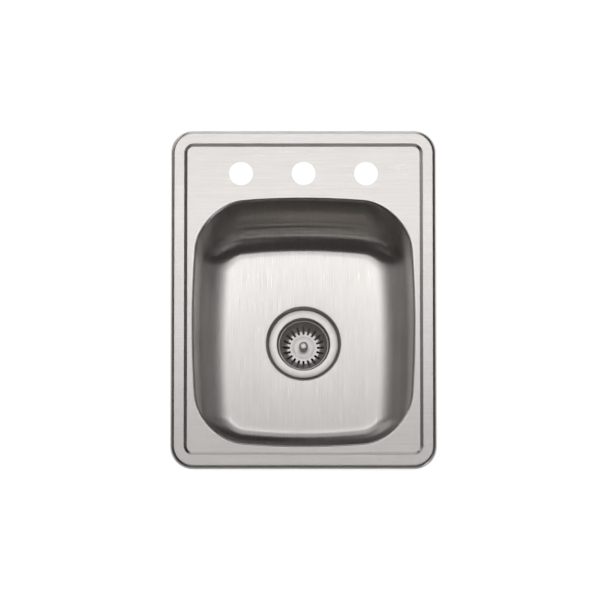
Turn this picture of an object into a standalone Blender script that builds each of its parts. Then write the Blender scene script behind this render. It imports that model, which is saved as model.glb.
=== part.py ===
"""Drop-in stainless bar sink: one bowl, three faucet holes, basket strainer and mounting clips.

Metres, +Z up. X runs across the width and +Y points to the faucet side. The origin is the
centre of the rim's outline on the plane of the countertop, which the rim's edge rests on.
"""

from math import atan2, cos, hypot, pi, radians, sin, tau

import bmesh
import bpy
from mathutils import Vector

GAP = 0.0003  # between two pieces that touch

# Rim and deck, by distance in from the outer edge
SINK_WIDTH = 0.4318
SINK_LENGTH = 0.5588
SHEET = 0.0009
CORNER_RADIUS = 0.038
RIM_HEIGHT = 0.0070
EDGE_ROLL = 0.0068
LEDGE_END = 0.0221
STEP_END = 0.0272
DECK_HEIGHT = 0.0040

# Faucet holes
HOLE_RADIUS = 0.01905
HOLE_SPACING = 0.1016
HOLE_Y = 0.2078

# Bowl: its mouth is a rectangle with round corners and slightly bowed sides
BOWL_Y = -0.0380
MOUTH_HALF_WIDTH = 0.1802
MOUTH_HALF_LENGTH = 0.2040
MOUTH_CORNER = 0.0770
SIDE_BOW = 0.057  # share of the half width lost towards the corners
END_BOW = 0.059
LIP_RADIUS = 0.0055
LIP_START = -0.0030
WALL_DRAFT = radians(3.0)
BOWL_DEPTH = 0.1937
FLOOR_FILLET = 0.048
FLOOR_PITCH = 0.020

# Drain recess and the hole in its middle
RECESS_RADIUS = 0.0620
RECESS_FLOOR_RADIUS = 0.0570
RECESS_DEPTH = 0.0095
DRAIN_HOLE_RADIUS = 0.0450
DRAIN_EDGE_Z = RIM_HEIGHT - BOWL_DEPTH

# Strainer, by height relative to the flange's top
FLANGE_RADIUS = 0.0564
FLANGE_THICKNESS = 0.0016
FLANGE_TOP = DRAIN_EDGE_Z - 0.0060
THREAD_RADIUS = 0.0440
THREAD_ROOT = 0.0434
OUTLET_RADIUS = 0.0238
OUTLET_ROOT = 0.0232
OUTLET_END = -0.0720
OUTLET_BORE = 0.0196
CROSSBAR_Z = -0.0610
ARM_WIDTH = 0.0030
ARM_HEIGHT = 0.0035
HUB_RADIUS = 0.0056
HUB_BORE = 0.0034
UNDER_RECESS = DRAIN_EDGE_Z - RECESS_DEPTH - SHEET - FLANGE_TOP
TAILPIECE_RADIUS = 0.01905
TAILPIECE_WALL = 0.0012
TAILPIECE_LENGTH = 0.1016
GASKET_RADIUS = 0.0560
GASKET_THICKNESS = 0.0030
FIBRE_RADIUS = 0.0555
FIBRE_THICKNESS = 0.0010
STACK_BORE = THREAD_RADIUS + 2 * GAP
LOCKNUT_RADIUS = 0.0540
LOCKNUT_COLLAR = 0.0490
LOCKNUT_HEIGHT = 0.0110
COUPLING_RADIUS = 0.0290
COUPLING_TOP = -0.0610
NYLON_THICKNESS = 0.0020

# Basket
BASKET_RIM_RADIUS = 0.0412
BASKET_RIM_Z = -0.0087
BASKET_FLOOR_RADIUS = 0.0250
BASKET_FLOOR_Z = -0.0330
BASKET_WALL_SPREAD = 0.0141  # the wall is a quarter of an ellipse
BASKET_WALL_RISE = 0.0230
BASKET_SHEET = 0.0008
GROOVE_RADIUS = 0.0170
GROOVE_DEPTH = 0.0002
SLOT_COUNT = 20
SLOT_WIDTH = 0.0036
SLOT_NEAR = 0.0220
SLOT_FAR = 0.0345
POST_RADIUS = 0.0029
KNOB_RADIUS = 0.0073
KNOB_TOP = -0.0160
KNOB_DOME = 0.0022
KNOB_BORE_TOP = -0.0205
POST_TOP = -0.0210
POST_END = -0.0640
STOPPER_BOTTOM = -0.0418
DISC_RADIUS = 0.0120
DISC_THICKNESS = 0.0010
POST_NUT_HEIGHT = 0.0042

# Mounting rails and clips
RAIL_CENTRE = 0.0210  # in from the rim's edge
RAIL_WIDTH = 0.0180
RAIL_HEIGHT = 0.0110
RAIL_SHEET = 0.0012
RAIL_LIP = 0.0045
SIDE_RAIL_LENGTH = 0.4400
END_RAIL_LENGTH = 0.3200
RAIL_TOP = DECK_HEIGHT - SHEET - GAP
SIDE_CLIP_OFFSET = 0.1200
BOLT_RADIUS = 0.0030
BOLT_END = -0.0620
BOLT_HEAD_HALF = 0.0071
BOLT_HEAD_HEIGHT = 0.0030
CLAW_Z = -0.0500
CLAW_SHEET = 0.0020
CLAW_WIDTH = 0.0160
CLAW_REACH = 0.0185
CLAW_LEG = 0.0090
CLAW_HEEL_REACH = 0.0100
CLAW_HEEL = 0.0050
TOOTH_DEPTH = 0.0025
TOOTH_HALF = 0.0013
WASHER_RADIUS = 0.0080
WASHER_THICKNESS = 0.0012
NUT_ACROSS_CORNERS = 0.0128
NUT_HEIGHT = 0.0056

# Sound pads, by distance from the drain's centre
PAD_HALF_WIDTH = 0.0950
PAD_NEAR = 0.0780
PAD_FAR = 0.1300
PAD_THICKNESS = 0.0030

LONG_STEPS = 12
SHORT_STEPS = 9
CORNER_STEPS = 8
RIM_CORNER_STEPS = 7
ROUND_STEPS = 40
CUT = 0.0200  # how far a cutting shape runs past what it cuts


def clear_scene():
    for obj in list(bpy.data.objects):
        bpy.data.objects.remove(obj, do_unlink=True)


def material(name, colour, roughness, metallic):
    made = bpy.data.materials.new(name)
    made.use_nodes = True
    shader = made.node_tree.nodes["Principled BSDF"]
    shader.inputs["Base Color"].default_value = (*colour, 1.0)
    shader.inputs["Roughness"].default_value = roughness
    shader.inputs["Metallic"].default_value = metallic
    made.diffuse_color = (*colour, 1.0)
    return made


def mesh_from(bm, name):
    bmesh.ops.recalc_face_normals(bm, faces=bm.faces)
    mesh = bpy.data.meshes.new(name)
    bm.to_mesh(mesh)
    bm.free()
    return mesh


def place(name, mesh, finish, location=(0, 0, 0), parent=None, turn=0.0):
    """Puts a mesh in the scene as one sub-part, turned about Z."""
    obj = bpy.data.objects.new(name, mesh)
    bpy.context.scene.collection.objects.link(obj)
    if not mesh.materials:
        mesh.materials.append(finish)
    mesh.shade_smooth()
    mesh.set_sharp_from_angle(angle=radians(35))
    obj.location = location
    obj.rotation_euler = (0, 0, turn)
    obj.parent = parent
    return obj


def empty(name, location, turn=0.0, parent=None):
    obj = bpy.data.objects.new(name, None)
    bpy.context.scene.collection.objects.link(obj)
    obj.empty_display_size = 0.02
    obj.location = location
    obj.rotation_euler = (0, 0, turn)
    obj.parent = parent
    return obj


def combined(base, others, operation):
    """The base mesh with every other mesh joined to it or cut from it."""
    helpers = []
    for mesh in (base, *others):
        helper = bpy.data.objects.new("helper", mesh)
        helper.hide_render = True
        helper.display_type = "WIRE"
        bpy.context.scene.collection.objects.link(helper)
        helpers.append(helper)
    for other in helpers[1:]:
        boolean = helpers[0].modifiers.new("combine", "BOOLEAN")
        boolean.operation = operation
        boolean.object = other
    graph = bpy.context.evaluated_depsgraph_get()
    made = bpy.data.meshes.new_from_object(helpers[0].evaluated_get(graph))
    for helper in helpers:
        bpy.data.objects.remove(helper, do_unlink=True)
    return made


def turned(profile, steps=ROUND_STEPS, outer=None):
    """A closed (radius, height) profile turned about Z. outer gives a share of each radius
    beyond a limit by angle, which makes flats or lugs on the outside."""
    bm = bmesh.new()
    verts = [bm.verts.new((r, 0, z)) for r, z in profile]
    edges = [bm.edges.new((a, b)) for a, b in zip(verts, verts[1:] + verts[:1])]
    bmesh.ops.spin(
        bm,
        geom=verts + edges,
        cent=(0, 0, 0),
        axis=(0, 0, 1),
        angle=tau,
        steps=steps,
        use_merge=True,
    )
    bmesh.ops.remove_doubles(bm, verts=bm.verts, dist=1e-6)
    if outer:
        for v in bm.verts:
            share = outer(hypot(v.co.x, v.co.y), atan2(v.co.y, v.co.x))
            v.co.x *= share
            v.co.y *= share
    return mesh_from(bm, "turned")


def extruded(points, way):
    """A flat outline of 3-D points carried along a vector."""
    bm = bmesh.new()
    face = bm.faces.new([bm.verts.new(point) for point in points])
    grown = bmesh.ops.extrude_face_region(bm, geom=[face])["geom"]
    moved = [g for g in grown if isinstance(g, bmesh.types.BMVert)]
    bmesh.ops.translate(bm, verts=moved, vec=way)
    return mesh_from(bm, "extruded")


def across_y(outline, width):
    """An outline of (x, z) points, width wide along Y and centred on it."""
    return extruded([(x, -width / 2, z) for x, z in outline], Vector((0, width, 0)))


def cylinder(radius, bottom, top, steps):
    bm = bmesh.new()
    bmesh.ops.create_cone(
        bm, cap_ends=True, segments=steps, radius1=radius, radius2=radius, depth=top - bottom
    )
    bmesh.ops.translate(bm, verts=bm.verts, vec=(0, 0, (top + bottom) / 2))
    return mesh_from(bm, "cylinder")


def block(low, high):
    bm = bmesh.new()
    bmesh.ops.create_cube(bm, size=1.0)
    size = [b - a for a, b in zip(low, high)]
    centre = [(a + b) / 2 for a, b in zip(low, high)]
    bmesh.ops.scale(bm, verts=bm.verts, vec=size)
    bmesh.ops.translate(bm, verts=bm.verts, vec=centre)
    return mesh_from(bm, "block")


def rounded_outline(inset):
    """The rim's outline moved inwards, as (x, y) points counter-clockwise."""
    radius = CORNER_RADIUS - inset
    reach_x = SINK_WIDTH / 2 - CORNER_RADIUS
    reach_y = SINK_LENGTH / 2 - CORNER_RADIUS
    points = []
    for corner, (sx, sy) in enumerate(((1, 1), (-1, 1), (-1, -1), (1, -1))):
        for k in range(RIM_CORNER_STEPS + 1):
            angle = pi / 2 * (corner + k / RIM_CORNER_STEPS)
            points.append((sx * reach_x + radius * cos(angle), sy * reach_y + radius * sin(angle)))
    return points


def mouth_outline(inset):
    """The bowl's outline moved inwards, as (x, y) points counter-clockwise."""
    half_x, half_y = MOUTH_HALF_WIDTH - inset, MOUTH_HALF_LENGTH - inset
    radius = MOUTH_CORNER - inset
    corners = []
    for corner, (sx, sy) in enumerate(((1, 1), (-1, 1), (-1, -1), (1, -1))):
        cx, cy = sx * (half_x - radius), sy * (half_y - radius)
        for k in range(CORNER_STEPS + 1):
            angle = pi / 2 * (corner + k / CORNER_STEPS)
            corners.append((cx + radius * cos(angle), cy + radius * sin(angle)))
    square = []
    for k, (x, y) in enumerate(corners):
        square.append((x, y))
        if k % (CORNER_STEPS + 1) == CORNER_STEPS:
            u, v = corners[(k + 1) % len(corners)]
            steps = LONG_STEPS if abs(v - y) > abs(u - x) else SHORT_STEPS
            for step in range(1, steps):
                square.append((x + (u - x) * step / steps, y + (v - y) * step / steps))
    bowed = []
    for x, y in square:
        narrowed = x * (1 - SIDE_BOW * (y / half_y) ** 2)
        shortened = y * (1 - END_BOW * (x / half_x) ** 2)
        bowed.append((narrowed, BOWL_Y + shortened))
    return bowed


def circle(radius, count, x=0.0, y=0.0):
    return [
        (x + radius * cos(tau * k / count), y + radius * sin(tau * k / count)) for k in range(count)
    ]


def floor_height(x, y):
    """The bowl's floor falls evenly towards the drain recess."""
    return DRAIN_EDGE_Z + FLOOR_PITCH * (hypot(x, y - BOWL_Y) - RECESS_RADIUS)


def rim_rings():
    """Rings from the rim's edge on the countertop to the deck."""
    rings = [[(x, y, 0.0) for x, y in rounded_outline(0.0)]]
    for step in range(4):
        angle = pi / 2 * step / 3
        inset = EDGE_ROLL * (1 - cos(angle))
        height = RIM_HEIGHT - EDGE_ROLL * (1 - sin(angle))
        rings.append([(x, y, height) for x, y in rounded_outline(inset)])
    rings.append([(x, y, RIM_HEIGHT) for x, y in rounded_outline(LEDGE_END)])
    rings.append([(x, y, DECK_HEIGHT) for x, y in rounded_outline(STEP_END)])
    return rings


def bowl_rings():
    """Rings from the deck over the lip, down the wall and across the floor to the drain."""
    rings = []
    lean = pi / 2 - WALL_DRAFT
    for step in range(4):
        angle = lean * step / 3
        inset = LIP_START + LIP_RADIUS * sin(angle)
        height = DECK_HEIGHT - LIP_RADIUS * (1 - cos(angle))
        rings.append([(x, y, height) for x, y in mouth_outline(inset)])
    wall_top = DECK_HEIGHT - LIP_RADIUS * (1 - cos(lean))
    wall_bottom = DRAIN_EDGE_Z + FLOOR_FILLET * (1 - cos(lean))
    wall_end = LIP_START + LIP_RADIUS * sin(lean) + (wall_top - wall_bottom) * sin(WALL_DRAFT)
    floor_start = wall_end + FLOOR_FILLET * sin(lean)
    for step in range(5):
        angle = lean * (1 - step / 4)
        inset = floor_start - FLOOR_FILLET * sin(angle)
        rise = FLOOR_FILLET * (1 - cos(angle))
        rings.append([(x, y, floor_height(x, y) + rise) for x, y in mouth_outline(inset)])
    ways = [atan2(y - BOWL_Y, x) for x, y, _ in rings[-1]]
    recess = [(RECESS_RADIUS * cos(way), BOWL_Y + RECESS_RADIUS * sin(way)) for way in ways]
    between = [((x + u) / 2, (y + v) / 2) for (x, y, _), (u, v) in zip(rings[-1], recess)]
    rings.append([(x, y, floor_height(x, y)) for x, y in between])
    rings.append([(x, y, DRAIN_EDGE_Z) for x, y in recess])
    for radius in (RECESS_FLOOR_RADIUS, DRAIN_HOLE_RADIUS):
        level = DRAIN_EDGE_Z - RECESS_DEPTH
        rings.append([(radius * cos(way), BOWL_Y + radius * sin(way), level) for way in ways])
    return rings


def loft(bm, rings):
    """Joins rings of equal count with quads, and returns the rings' vertices."""
    rows = [[bm.verts.new(point) for point in ring] for ring in rings]
    for above, below in zip(rows, rows[1:]):
        for k in range(len(above)):
            following = (k + 1) % len(above)
            bm.faces.new((above[k], above[following], below[following], below[k]))
    return rows


def loop_edges(bm, verts):
    """The closed loop of edges through the vertices, made where it doesn't exist yet."""
    pairs = zip(verts, verts[1:] + verts[:1])
    return [bm.edges.get(pair) or bm.edges.new(pair) for pair in pairs]


def add_sink_shell(finish):
    """One pressed sheet: rim, deck with three holes, bowl and drain recess."""
    bm = bmesh.new()
    deck_edges = loop_edges(bm, loft(bm, rim_rings())[-1])
    deck_edges += loop_edges(bm, loft(bm, bowl_rings())[0])
    for side in (-1, 0, 1):
        hole = circle(HOLE_RADIUS, 24, side * HOLE_SPACING, HOLE_Y)
        deck_edges += loop_edges(bm, [bm.verts.new((x, y, DECK_HEIGHT)) for x, y in hole])
    bmesh.ops.triangle_fill(bm, edges=deck_edges, use_beauty=True, normal=(0, 0, 1))
    bmesh.ops.recalc_face_normals(bm, faces=bm.faces)
    bm.faces.ensure_lookup_table()
    if sum(f.normal.z * f.calc_area() for f in bm.faces) < 0:
        bmesh.ops.reverse_faces(bm, faces=bm.faces)
    mesh = bpy.data.meshes.new("sink_shell")
    bm.to_mesh(mesh)
    bm.free()
    shell = place("sink_shell", mesh, finish)
    solidify = shell.modifiers.new("sheet", "SOLIDIFY")
    solidify.thickness = SHEET
    solidify.offset = -1
    solidify.use_even_offset = True
    return shell


def add_rails(finish):
    """C-channels under the rim, open at the bottom, and the empties their clips hang on."""
    half, lip = RAIL_WIDTH / 2, RAIL_LIP
    top, bottom, sheet = 0.0, -RAIL_HEIGHT, RAIL_SHEET
    outline = [
        (-half, top),
        (half, top),
        (half, bottom),
        (half - lip, bottom),
        (half - lip, bottom + sheet),
        (half - sheet, bottom + sheet),
        (half - sheet, top - sheet),
        (-half + sheet, top - sheet),
        (-half + sheet, bottom + sheet),
        (-half + lip, bottom + sheet),
        (-half + lip, bottom),
        (-half, bottom),
    ]
    side_mesh = across_y(outline, SIDE_RAIL_LENGTH)
    end_mesh = across_y(outline, END_RAIL_LENGTH)
    side_x = SINK_WIDTH / 2 - RAIL_CENTRE
    end_y = SINK_LENGTH / 2 - RAIL_CENTRE
    # Each rail's local +X points out of the sink, and its local Y runs along the rail.
    rails = {}
    for name, x, y, turn, mesh in (
        ("right", side_x, 0, 0.0, side_mesh),
        ("back", 0, end_y, pi / 2, end_mesh),
        ("left", -side_x, 0, pi, side_mesh),
        ("front", 0, -end_y, -pi / 2, end_mesh),
    ):
        rails[name] = empty(f"{name}_side", (x, y, RAIL_TOP), turn)
        place(f"mounting_rail_{name}", mesh, finish, parent=rails[name])
    return rails


def bolt_mesh():
    """A T-bolt: its head rides in the rail and its square neck in the slot."""
    head_low = -RAIL_HEIGHT + RAIL_SHEET + GAP
    slot = RAIL_WIDTH - 2 * RAIL_LIP
    neck = slot / 2 - 2 * GAP
    head = block(
        (-BOLT_HEAD_HALF, -BOLT_HEAD_HALF, head_low),
        (BOLT_HEAD_HALF, BOLT_HEAD_HALF, head_low + BOLT_HEAD_HEIGHT),
    )
    square = block((-neck, -neck, -RAIL_HEIGHT - 0.0015), (neck, neck, head_low + 0.0010))
    shank = cylinder(BOLT_RADIUS, BOLT_END, -RAIL_HEIGHT, 16)
    return combined(head, [square, shank], "UNION")


def claw_mesh():
    """A stamped claw: its outer leg ends in teeth that bite the countertop's underside."""
    sheet = CLAW_SHEET
    outline = [
        (-CLAW_HEEL_REACH, 0),
        (CLAW_REACH, 0),
        (CLAW_REACH, CLAW_LEG),
        (CLAW_REACH - sheet, CLAW_LEG),
        (CLAW_REACH - sheet, sheet),
        (-CLAW_HEEL_REACH + sheet, sheet),
        (-CLAW_HEEL_REACH + sheet, CLAW_HEEL),
        (-CLAW_HEEL_REACH, CLAW_HEEL),
    ]
    cutters = [cylinder(BOLT_RADIUS + 2 * GAP, -CUT, CUT, 16)]
    near, far = CLAW_REACH - 2 * sheet, CLAW_REACH + sheet
    for k in (-1, 0, 1):
        y = k * CLAW_WIDTH / 4
        notch = [(y - TOOTH_HALF, CLAW_LEG), (y, CLAW_LEG - TOOTH_DEPTH), (y + TOOTH_HALF, CLAW_LEG)]
        over = [(y + TOOTH_HALF, CLAW_LEG + GAP), (y - TOOTH_HALF, CLAW_LEG + GAP)]
        points = [(near, across, up) for across, up in notch + over]
        cutters.append(extruded(points, Vector((far - near, 0, 0))))
    return combined(across_y(outline, CLAW_WIDTH), cutters, "DIFFERENCE")


def add_clips(rails, finish):
    """Two clips on each side rail and one on each end rail: a T-bolt, a claw turned along the
    rail so that the sink drops into its cut-out, and the washer and nut that lift the claw."""
    bore = BOLT_RADIUS + GAP
    bolt, claw = bolt_mesh(), claw_mesh()
    disc = [(bore, -WASHER_THICKNESS), (bore, 0), (WASHER_RADIUS, 0), (WASHER_RADIUS, -WASHER_THICKNESS)]
    washer = turned(disc, 24)
    hexagon = cylinder(NUT_ACROSS_CORNERS / 2, -NUT_HEIGHT, 0, 6)
    nut = combined(hexagon, [cylinder(bore, -CUT, CUT, 16)], "DIFFERENCE")
    claw_low = CLAW_Z - RAIL_TOP
    washer_top = claw_low - GAP
    nut_top = washer_top - WASHER_THICKNESS - GAP
    places = {"left": (-SIDE_CLIP_OFFSET, SIDE_CLIP_OFFSET), "back": (0,), "front": (0,)}
    places["right"] = places["left"]
    for side, rail in rails.items():
        for number, along in enumerate(places[side], 1):
            label = f"{side}_{number}" if len(places[side]) > 1 else side
            clip = empty(f"clip_{label}", (0, along, 0), parent=rail)
            place(f"clip_bolt_{label}", bolt, finish, parent=clip)
            place(f"clip_claw_{label}", claw, finish, (0, 0, claw_low), clip, turn=pi / 2)
            place(f"clip_washer_{label}", washer, finish, (0, 0, washer_top), clip)
            place(f"clip_nut_{label}", nut, finish, (0, 0, nut_top), clip)


def add_sound_pads(finish):
    """Pads stuck under the floor, in front of the drain and behind it."""
    columns, rows = 6, 3
    for name, way in (("sound_pad_front", -1), ("sound_pad_back", 1)):
        bm = bmesh.new()
        layers = []
        for depth in (0.0, PAD_THICKNESS):
            layer = []
            for row in range(rows + 1):
                y = BOWL_Y + way * (PAD_NEAR + (PAD_FAR - PAD_NEAR) * row / rows)
                line = []
                for column in range(columns + 1):
                    x = PAD_HALF_WIDTH * (2 * column / columns - 1)
                    z = floor_height(x, y) - SHEET - 2 * GAP - depth
                    line.append(bm.verts.new((x, y, z)))
                layer.append(line)
            layers.append(layer)
        borders = []
        for layer in layers:
            for a, b in zip(layer, layer[1:]):
                for k in range(columns):
                    bm.faces.new((a[k], a[k + 1], b[k + 1], b[k]))
            border = layer[0] + [line[-1] for line in layer[1:-1]] + layer[-1][::-1]
            borders.append(border + [line[0] for line in layer[-2:0:-1]])
        upper, lower = borders
        for k in range(len(upper)):
            following = (k + 1) % len(upper)
            bm.faces.new((upper[k], upper[following], lower[following], lower[k]))
        place(name, mesh_from(bm, name), finish)


def thread(root, crest, top, bottom, count):
    """A run of thread ridges down an outer wall, as profile points."""
    pitch = (top - bottom) / count
    points = []
    for k in range(count):
        z = top - k * pitch
        points += [(root, z), (crest, z - pitch / 2)]
    return points


def strainer_body_mesh():
    """Flange, threaded cup and outlet in one turned piece."""
    inner = [
        (OUTLET_BORE, OUTLET_END),
        (OUTLET_BORE, -0.0480),
        (0.0206, -0.0465),
        (0.0240, -0.0445),
        (0.0280, -0.0418),
        (0.0320, -0.0402),
        (0.0370, -0.0378),
        (0.0400, -0.0345),
        (0.0415, -0.0300),
        (0.0419, -0.0250),
        (0.0419, -0.0052),
        (0.0422, -0.0024),
        (0.0429, -0.0008),
        (0.0438, -0.0001),
        (0.0446, 0.0),
    ]
    flange = [(FLANGE_RADIUS - 0.0006, 0.0), (FLANGE_RADIUS, -0.0006)]
    flange += [(FLANGE_RADIUS, -FLANGE_THICKNESS), (THREAD_ROOT, -FLANGE_THICKNESS)]
    outer = thread(THREAD_ROOT, THREAD_RADIUS, UNDER_RECESS - 0.0020, -0.0240, 4)
    outer += [(THREAD_ROOT, -0.0310), (0.0420, -0.0357), (0.0386, -0.0393), (0.0330, -0.0420)]
    outer += [(0.0290, -0.0436), (0.0252, -0.0462), (OUTLET_ROOT, -0.0490)]
    outer += thread(OUTLET_ROOT, OUTLET_RADIUS, -0.0580, OUTLET_END + 0.0010, 3)
    return turned(inner + flange + outer + [(OUTLET_ROOT, OUTLET_END)])


def crossbar_mesh():
    """Four arms across the outlet and a hub that guides the basket's post."""
    half = ARM_WIDTH / 2
    reach = OUTLET_BORE - GAP
    low, high = CROSSBAR_Z, CROSSBAR_Z + ARM_HEIGHT
    along_x = block((-reach, -half, low), (reach, half, high))
    along_y = block((-half, -reach, low), (half, reach, high))
    hub = cylinder(HUB_RADIUS, low - 0.0010, high + 0.0010, 24)
    joined = combined(hub, [along_x, along_y], "UNION")
    return combined(joined, [cylinder(HUB_BORE, low - CUT, high + CUT, 24)], "DIFFERENCE")


def add_strainer(chrome, steel, rubber, fibre, nylon):
    """Everything that clamps the drain into the sink, down to the tailpiece."""
    drain = empty("drain", (0, BOWL_Y, FLANGE_TOP))
    place("strainer_body", strainer_body_mesh(), steel, parent=drain)
    place("crossbar", crossbar_mesh(), steel, parent=drain)

    def washer(name, inner, outer, top, bottom, finish, bevel=0.0):
        profile = [(inner, bottom), (inner, top), (outer - bevel, top)]
        if bevel:
            profile += [(outer, top - bevel), (outer, bottom + bevel)]
        profile.append((outer - bevel, bottom))
        place(name, turned(profile), finish, parent=drain)

    recess_floor = UNDER_RECESS + SHEET
    washer("flange_seal", 0.0462, 0.0562, -FLANGE_THICKNESS - GAP, recess_floor + GAP, rubber)
    gasket_top = UNDER_RECESS - GAP
    gasket_low = gasket_top - GASKET_THICKNESS
    washer("rubber_gasket", STACK_BORE, GASKET_RADIUS, gasket_top, gasket_low, rubber, 0.0005)
    fibre_top = gasket_low - GAP
    fibre_low = fibre_top - FIBRE_THICKNESS
    washer("friction_washer", STACK_BORE, FIBRE_RADIUS, fibre_top, fibre_low, fibre)

    nut_top = fibre_low - GAP
    nut_low = nut_top - LOCKNUT_HEIGHT
    bore = THREAD_RADIUS + GAP
    profile = [(bore, nut_low), (bore, nut_top), (LOCKNUT_RADIUS, nut_top)]
    profile += [(LOCKNUT_RADIUS, nut_top - 0.0025), (LOCKNUT_COLLAR, nut_top - 0.0035)]
    profile.append((LOCKNUT_COLLAR, nut_low))

    def lugs(radius, angle):
        """Eight notches in the locknut's outside."""
        return 0.945 if radius > LOCKNUT_COLLAR + GAP and cos(8 * angle) < -0.3 else 1.0

    place("locknut", turned(profile, 48, lugs), chrome, parent=drain)

    washer_top = OUTLET_END - GAP
    washer_low = washer_top - NYLON_THICKNESS
    washer("tailpiece_washer", 0.0180, 0.0228, washer_top, washer_low, nylon)
    pipe_top = washer_low - GAP
    bore = TAILPIECE_RADIUS - TAILPIECE_WALL
    pipe_end = pipe_top - TAILPIECE_LENGTH
    profile = [(bore, pipe_end), (bore, pipe_top), (0.0226, pipe_top), (0.0226, pipe_top - 0.0013)]
    profile += [(TAILPIECE_RADIUS, pipe_top - 0.0022), (TAILPIECE_RADIUS, pipe_end)]
    place("tailpiece", turned(profile), chrome, parent=drain)

    lip_top = pipe_top - 0.0026
    lip_end = lip_top - 0.0030
    profile = [
        (TAILPIECE_RADIUS + 0.0005, lip_end),
        (TAILPIECE_RADIUS + 0.0005, lip_top),
        (0.0242, lip_top),
        (0.0242, COUPLING_TOP),
        (COUPLING_RADIUS - 0.0005, COUPLING_TOP),
        (COUPLING_RADIUS, COUPLING_TOP - 0.0010),
        (COUPLING_RADIUS, lip_end + 0.0015),
        (COUPLING_RADIUS - 0.0015, lip_end),
    ]

    def flats(radius, angle):
        """An eight-sided outside."""
        if radius < 0.0260:
            return 1.0
        return cos(pi / 8) / cos((angle % (pi / 4)) - pi / 8)

    place("coupling_nut", turned(profile, 48, flats), chrome, parent=drain)
    return drain


def basket_cup_mesh():
    """A stamped cup with a turned rim and a ring of slots that run up its wall."""
    profile = [
        (POST_RADIUS + GAP, BASKET_FLOOR_Z),
        (GROOVE_RADIUS - 0.0008, BASKET_FLOOR_Z),
        (GROOVE_RADIUS, BASKET_FLOOR_Z - GROOVE_DEPTH),
        (GROOVE_RADIUS + 0.0008, BASKET_FLOOR_Z),
        (BASKET_FLOOR_RADIUS, BASKET_FLOOR_Z),
    ]
    for step in range(1, 7):
        angle = pi / 2 * step / 6
        radius = BASKET_FLOOR_RADIUS + BASKET_WALL_SPREAD * sin(angle)
        profile.append((radius, BASKET_FLOOR_Z + BASKET_WALL_RISE * (1 - cos(angle))))
    profile += [(0.0398, BASKET_RIM_Z), (BASKET_RIM_RADIUS, BASKET_RIM_Z - 0.0004)]
    bm = bmesh.new()
    c, s = cos(pi / ROUND_STEPS), sin(pi / ROUND_STEPS)  # no edge runs through a slot's middle
    verts = [bm.verts.new((r * c, r * s, z)) for r, z in profile]
    edges = [bm.edges.new(pair) for pair in zip(verts, verts[1:])]
    bmesh.ops.spin(
        bm,
        geom=verts + edges,
        cent=(0, 0, 0),
        axis=(0, 0, 1),
        angle=tau,
        steps=ROUND_STEPS,
        use_merge=True,
    )
    bmesh.ops.recalc_face_normals(bm, faces=bm.faces)
    if sum(f.normal.z for f in bm.faces) < 0:
        bmesh.ops.reverse_faces(bm, faces=bm.faces)
    bmesh.ops.solidify(bm, geom=bm.faces, thickness=BASKET_SHEET)
    sheet = mesh_from(bm, "basket_cup")
    half = SLOT_WIDTH / 2
    outline = []
    for middle, start in ((SLOT_FAR - half, 0), (SLOT_NEAR + half, 4)):
        for step in range(5):
            angle = pi / 4 * (start + step) - pi / 2
            outline.append((middle + half * cos(angle), half * sin(angle)))
    slots = []
    for k in range(SLOT_COUNT):
        turn = tau * k / SLOT_COUNT
        c, s = cos(turn), sin(turn)
        points = [(x * c - y * s, x * s + y * c, -0.0400) for x, y in outline]
        slots.append(extruded(points, Vector((0, 0, 0.0250))))
    return combined(sheet, slots, "DIFFERENCE")


def add_basket(drain, chrome, steel, rubber):
    """The strainer basket, which lifts out by its knob."""
    basket = empty("basket", (0, 0, 0), parent=drain)
    place("basket_cup", basket_cup_mesh(), steel, parent=basket)

    bore = POST_RADIUS + GAP
    seat = BASKET_FLOOR_Z + GAP
    knob = [(bore, seat), (KNOB_RADIUS - 0.0004, seat), (KNOB_RADIUS, seat + 0.0010)]
    for step in range(4):
        angle = pi / 2 * step / 4
        knob.append((KNOB_RADIUS * cos(angle), KNOB_TOP - KNOB_DOME * (1 - sin(angle))))
    knob += [(0.0, KNOB_TOP), (0.0, KNOB_BORE_TOP), (bore, KNOB_BORE_TOP)]
    place("basket_knob", turned(knob, 32), chrome, parent=basket)

    post = [(0.0, POST_END), (0.0, POST_TOP), (POST_RADIUS - GAP, POST_TOP)]
    post += [(POST_RADIUS, POST_TOP - 0.0004), (POST_RADIUS, POST_END + 0.0008)]
    post.append((POST_RADIUS - 0.0008, POST_END))
    place("basket_post", turned(post, 20), steel, parent=basket)

    under = BASKET_FLOOR_Z - BASKET_SHEET - GROOVE_DEPTH - GAP
    stopper = [
        (bore, STOPPER_BOTTOM),
        (bore, under),
        (0.0190, under),
        (0.0215, -0.0356),
        (0.0246, -0.0408),
        (0.0252, -0.0420),
        (0.0242, -0.0430),
        (0.0140, STOPPER_BOTTOM),
    ]
    place("stopper", turned(stopper), rubber, parent=basket)
    disc_top = STOPPER_BOTTOM - GAP
    disc_low = disc_top - DISC_THICKNESS
    disc = [(bore, disc_low), (bore, disc_top), (DISC_RADIUS, disc_top), (DISC_RADIUS, disc_low)]
    place("stopper_washer", turned(disc, 32), steel, parent=basket)
    nut_top = disc_low - GAP
    hexagon = cylinder(NUT_ACROSS_CORNERS / 2, nut_top - POST_NUT_HEIGHT, nut_top, 6)
    nut = combined(hexagon, [cylinder(bore, nut_top - CUT, nut_top + CUT, 20)], "DIFFERENCE")
    place("post_nut", nut, steel, parent=basket)


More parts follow.
